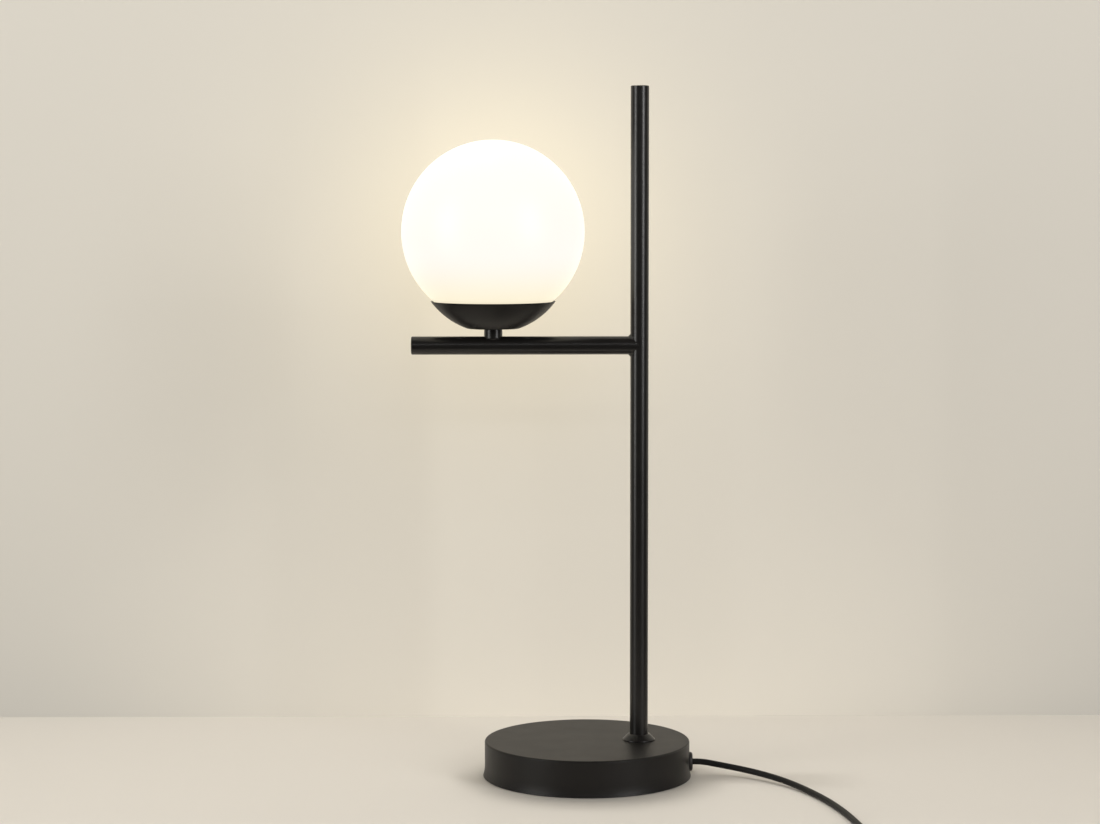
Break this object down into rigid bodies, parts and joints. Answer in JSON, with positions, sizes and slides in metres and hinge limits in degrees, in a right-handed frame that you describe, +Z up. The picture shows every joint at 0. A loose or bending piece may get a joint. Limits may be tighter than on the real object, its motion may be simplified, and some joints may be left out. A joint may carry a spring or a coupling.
{
  "type": "table lamp",
  "caption": "Table lamp with an opal glass globe in a shallow cup on a level arm, a slim upright off centre on a round weighted base, and a switched mains cord.",
  "frame": {"origin": "centre of the base's underside, on the table", "axes": "+Z up, +X from the globe towards the upright's side and the cord's exit, +Y to the back"},
  "size_m": [0.372, 0.4578, 0.57],
  "materials": {
    "black_enamel": "satin black powder coat",
    "cast_weight": "rough casting",
    "zinc_steel": "zinc plated",
    "screw_steel": "zinc plated, turned",
    "spring_steel": "cold rolled",
    "foam_pad": "closed-cell foam",
    "black_rubber": "moulded, satin",
    "black_cord": "extruded sheath, glossy",
    "opal_glass": "blown opal glass, glossy",
    "black_plastic": "moulded, fine texture",
    "switch_plastic": "moulded, fine texture",
    "rocker_plastic": "moulded, glossy",
    "tie_plastic": "woven strap",
    "pin_plastic": "moulded",
    "white_ceramic": "unglazed steatite",
    "white_plastic": "moulded",
    "frosted_plastic": "frosted diffuser",
    "black_glass": "fused insulator",
    "brass": "stamped",
    "nickel": "nickel plated",
    "brown_core": "extruded insulation",
    "blue_core": "extruded insulation"
  },
  "bodies": {
    "lamp_body": {"base_cover": "black_enamel", "base_weight": "cast_weight", "bottom_plate": "zinc_steel", "plate_screws": "screw_steel", "foot_pad": "foam_pad", "cord_grommet": "black_rubber", "foot_collar": "black_enamel", "foot_bush": "zinc_steel", "foot_nipple": "zinc_steel", "foot_washer": "zinc_steel", "foot_nut": "zinc_steel", "upright_tube": "black_enamel", "upright_end_cap": "black_enamel", "arm_tube": "black_enamel", "arm_end_cap": "black_enamel", "arm_welds": "black_enamel", "stem": "black_enamel", "head_nipple": "zinc_steel", "cup": "black_enamel", "globe_seal": "black_rubber", "globe_spider": "spring_steel", "lock_washer": "zinc_steel", "lampholder_cap": "black_plastic", "lampholder_sleeve": "black_plastic", "lampholder_insert": "white_ceramic", "screw_shell": "brass", "centre_contact": "brass", "terminal_screws": "screw_steel", "live_wire": "brown_core", "neutral_wire": "blue_core", "inner_cord": "black_cord", "live_core": "brown_core", "neutral_core": "blue_core", "terminal_block": "white_plastic", "block_ways": "brass", "block_screws": "screw_steel", "cord_clamp": "black_plastic", "inner_screws": "screw_steel", "cord_lead": "black_cord", "cord_bridge": "black_cord", "cord_coil": "black_cord", "cord_tail": "black_cord", "coil_tie": "tie_plastic", "switch_lower": "switch_plastic", "switch_upper": "switch_plastic", "rocker_pin": "screw_steel", "switch_contacts": "brass", "switch_screws": "screw_steel", "plug_body": "black_rubber", "plug_relief": "black_rubber", "plug_pins": "nickel", "pin_sleeves": "pin_plastic"},
    "rocker": {"switch_rocker": "rocker_plastic"},
    "globe": {"opal_globe": "opal_glass"},
    "bulb": {"bulb_tip": "nickel", "bulb_insulator": "black_glass", "bulb_cap": "nickel", "bulb_housing": "white_plastic", "bulb_board": "white_plastic", "bulb_dome": "frosted_plastic"}
  },
  "joints": [
    {"name": "switch_rock", "type": "hinge", "parent": "lamp_body", "child": "rocker", "pos_m": [0.207, -0.289, 0.009], "axis": [1, 0, 0], "range_deg": [0, 20]},
    {"name": "globe_lift", "type": "slide", "parent": "lamp_body", "child": "globe", "axis": [0, 0, 1], "range_m": [0, 0.105]},
    {"name": "bulb_lift", "type": "slide", "parent": "lamp_body", "child": "bulb", "axis": [0, 0, 1], "range_m": [0, 0.022]}
  ]
}
